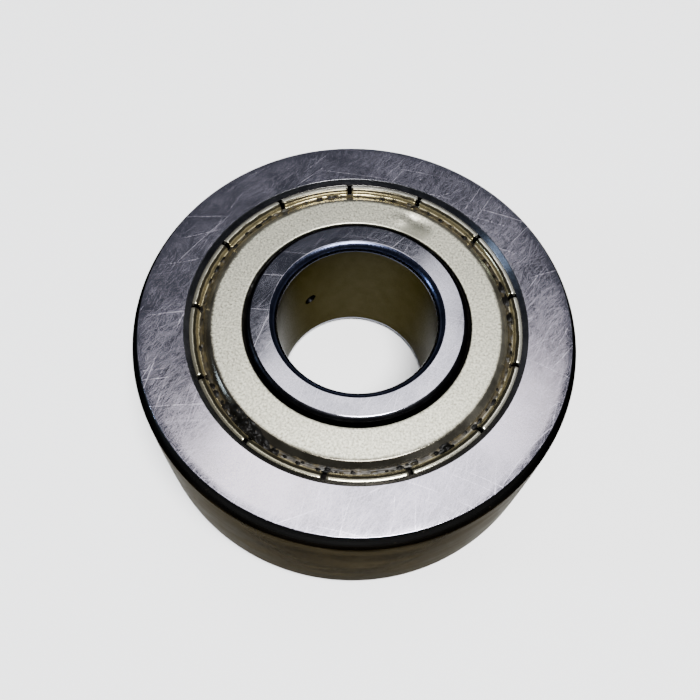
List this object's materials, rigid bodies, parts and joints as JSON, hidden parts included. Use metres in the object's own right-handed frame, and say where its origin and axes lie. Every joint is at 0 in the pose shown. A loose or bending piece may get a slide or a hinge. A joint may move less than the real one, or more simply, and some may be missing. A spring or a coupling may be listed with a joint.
{
  "type": "cam follower",
  "caption": "Crowned track roller: thick outer ring on two ball rows around a plain-bored inner ring, with a slotted-rim sheet shield on each side.",
  "frame": {"origin": "on the bore's axis, midway between the two end faces", "axes": "+Z along the bore axis; the object is the same on both sides, and +Z is called the upper side"},
  "size_m": [0.047, 0.047, 0.0176],
  "materials": {
    "outer_ring_steel": "ground faces, dark oiled tread",
    "inner_ring_steel": "ground faces, dark oiled bore",
    "shield_steel": "satin, greased rim",
    "ball_steel": "polished",
    "cage_plastic": "moulded polyamide"
  },
  "bodies": {
    "inner_ring": {"inner_ring": "inner_ring_steel"},
    "outer_ring": {"outer_ring": "outer_ring_steel", "upper_shield": "shield_steel", "lower_shield": "shield_steel"},
    "upper_cage": {"upper_cage": "cage_plastic"},
    "lower_cage": {"lower_cage": "cage_plastic"},
    "upper_ball_1": {"upper_ball_1": "ball_steel"},
    "upper_ball_2": {"upper_ball_2": "ball_steel"},
    "upper_ball_3": {"upper_ball_3": "ball_steel"},
    "upper_ball_4": {"upper_ball_4": "ball_steel"},
    "upper_ball_5": {"upper_ball_5": "ball_steel"},
    "upper_ball_6": {"upper_ball_6": "ball_steel"},
    "upper_ball_7": {"upper_ball_7": "ball_steel"},
    "upper_ball_8": {"upper_ball_8": "ball_steel"},
    "lower_ball_1": {"lower_ball_1": "ball_steel"},
    "lower_ball_2": {"lower_ball_2": "ball_steel"},
    "lower_ball_3": {"lower_ball_3": "ball_steel"},
    "lower_ball_4": {"lower_ball_4": "ball_steel"},
    "lower_ball_5": {"lower_ball_5": "ball_steel"},
    "lower_ball_6": {"lower_ball_6": "ball_steel"},
    "lower_ball_7": {"lower_ball_7": "ball_steel"},
    "lower_ball_8": {"lower_ball_8": "ball_steel"}
  },
  "joints": [
    {"name": "outer_ring_spin", "type": "hinge", "parent": "inner_ring", "child": "outer_ring", "pos_m": [0, 0, 0], "axis": [0, 0, 1], "continuous": true},
    {"name": "upper_cage_spin", "type": "hinge", "parent": "inner_ring", "child": "upper_cage", "pos_m": [0, 0, 0], "axis": [0, 0, 1], "continuous": true},
    {"name": "lower_cage_spin", "type": "hinge", "parent": "inner_ring", "child": "lower_cage", "pos_m": [0, 0, 0], "axis": [0, 0, 1], "continuous": true},
    {"name": "upper_ball_1_spin", "type": "hinge", "parent": "upper_cage", "child": "upper_ball_1", "pos_m": [0.01425, 0, 0.00355], "axis": [0.4226, 0, 0.9063], "continuous": true},
    {"name": "upper_ball_2_spin", "type": "hinge", "parent": "upper_cage", "child": "upper_ball_2", "pos_m": [0.01008, 0.01008, 0.00355], "axis": [0.2988, 0.2988, 0.9063], "continuous": true},
    {"name": "upper_ball_3_spin", "type": "hinge", "parent": "upper_cage", "child": "upper_ball_3", "pos_m": [0, 0.01425, 0.00355], "axis": [0, 0.4226, 0.9063], "continuous": true},
    {"name": "upper_ball_4_spin", "type": "hinge", "parent": "upper_cage", "child": "upper_ball_4", "pos_m": [-0.01008, 0.01008, 0.00355], "axis": [-0.2988, 0.2988, 0.9063], "continuous": true},
    {"name": "upper_ball_5_spin", "type": "hinge", "parent": "upper_cage", "child": "upper_ball_5", "pos_m": [-0.01425, 0, 0.00355], "axis": [-0.4226, 0, 0.9063], "continuous": true},
    {"name": "upper_ball_6_spin", "type": "hinge", "parent": "upper_cage", "child": "upper_ball_6", "pos_m": [-0.01008, -0.01008, 0.00355], "axis": [-0.2988, -0.2988, 0.9063], "continuous": true},
    {"name": "upper_ball_7_spin", "type": "hinge", "parent": "upper_cage", "child": "upper_ball_7", "pos_m": [0, -0.01425, 0.00355], "axis": [0, -0.4226, 0.9063], "continuous": true},
    {"name": "upper_ball_8_spin", "type": "hinge", "parent": "upper_cage", "child": "upper_ball_8", "pos_m": [0.01008, -0.01008, 0.00355], "axis": [0.2988, -0.2988, 0.9063], "continuous": true},
    {"name": "lower_ball_1_spin", "type": "hinge", "parent": "lower_cage", "child": "lower_ball_1", "pos_m": [0.01317, 0.00545, -0.00355], "axis": [-0.3904, -0.1617, 0.9063], "continuous": true},
    {"name": "lower_ball_2_spin", "type": "hinge", "parent": "lower_cage", "child": "lower_ball_2", "pos_m": [0.00545, 0.01317, -0.00355], "axis": [-0.1617, -0.3904, 0.9063], "continuous": true},
    {"name": "lower_ball_3_spin", "type": "hinge", "parent": "lower_cage", "child": "lower_ball_3", "pos_m": [-0.00545, 0.01317, -0.00355], "axis": [0.1617, -0.3904, 0.9063], "continuous": true},
    {"name": "lower_ball_4_spin", "type": "hinge", "parent": "lower_cage", "child": "lower_ball_4", "pos_m": [-0.01317, 0.00545, -0.00355], "axis": [0.3904, -0.1617, 0.9063], "continuous": true},
    {"name": "lower_ball_5_spin", "type": "hinge", "parent": "lower_cage", "child": "lower_ball_5", "pos_m": [-0.01317, -0.00545, -0.00355], "axis": [0.3904, 0.1617, 0.9063], "continuous": true},
    {"name": "lower_ball_6_spin", "type": "hinge", "parent": "lower_cage", "child": "lower_ball_6", "pos_m": [-0.00545, -0.01317, -0.00355], "axis": [0.1617, 0.3904, 0.9063], "continuous": true},
    {"name": "lower_ball_7_spin", "type": "hinge", "parent": "lower_cage", "child": "lower_ball_7", "pos_m": [0.00545, -0.01317, -0.00355], "axis": [-0.1617, 0.3904, 0.9063], "continuous": true},
    {"name": "lower_ball_8_spin", "type": "hinge", "parent": "lower_cage", "child": "lower_ball_8", "pos_m": [0.01317, -0.00545, -0.00355], "axis": [-0.3904, 0.1617, 0.9063], "continuous": true}
  ],
  "couplings": [
    {"joint": "upper_cage_spin", "follows": "outer_ring_spin", "ratio": 0.60728},
    {"joint": "lower_cage_spin", "follows": "outer_ring_spin", "ratio": 0.60728},
    {"joint": "upper_ball_1_spin", "follows": "outer_ring_spin", "ratio": 2.0148},
    {"joint": "upper_ball_2_spin", "follows": "outer_ring_spin", "ratio": 2.0148},
    {"joint": "upper_ball_3_spin", "follows": "outer_ring_spin", "ratio": 2.0148},
    {"joint": "upper_ball_4_spin", "follows": "outer_ring_spin", "ratio": 2.0148},
    {"joint": "upper_ball_5_spin", "follows": "outer_ring_spin", "ratio": 2.0148},
    {"joint": "upper_ball_6_spin", "follows": "outer_ring_spin", "ratio": 2.0148},
    {"joint": "upper_ball_7_spin", "follows": "outer_ring_spin", "ratio": 2.0148},
    {"joint": "upper_ball_8_spin", "follows": "outer_ring_spin", "ratio": 2.0148},
    {"joint": "lower_ball_1_spin", "follows": "outer_ring_spin", "ratio": 2.0148},
    {"joint": "lower_ball_2_spin", "follows": "outer_ring_spin", "ratio": 2.0148},
    {"joint": "lower_ball_3_spin", "follows": "outer_ring_spin", "ratio": 2.0148},
    {"joint": "lower_ball_4_spin", "follows": "outer_ring_spin", "ratio": 2.0148},
    {"joint": "lower_ball_5_spin", "follows": "outer_ring_spin", "ratio": 2.0148},
    {"joint": "lower_ball_6_spin", "follows": "outer_ring_spin", "ratio": 2.0148},
    {"joint": "lower_ball_7_spin", "follows": "outer_ring_spin", "ratio": 2.0148},
    {"joint": "lower_ball_8_spin", "follows": "outer_ring_spin", "ratio": 2.0148}
  ]
}
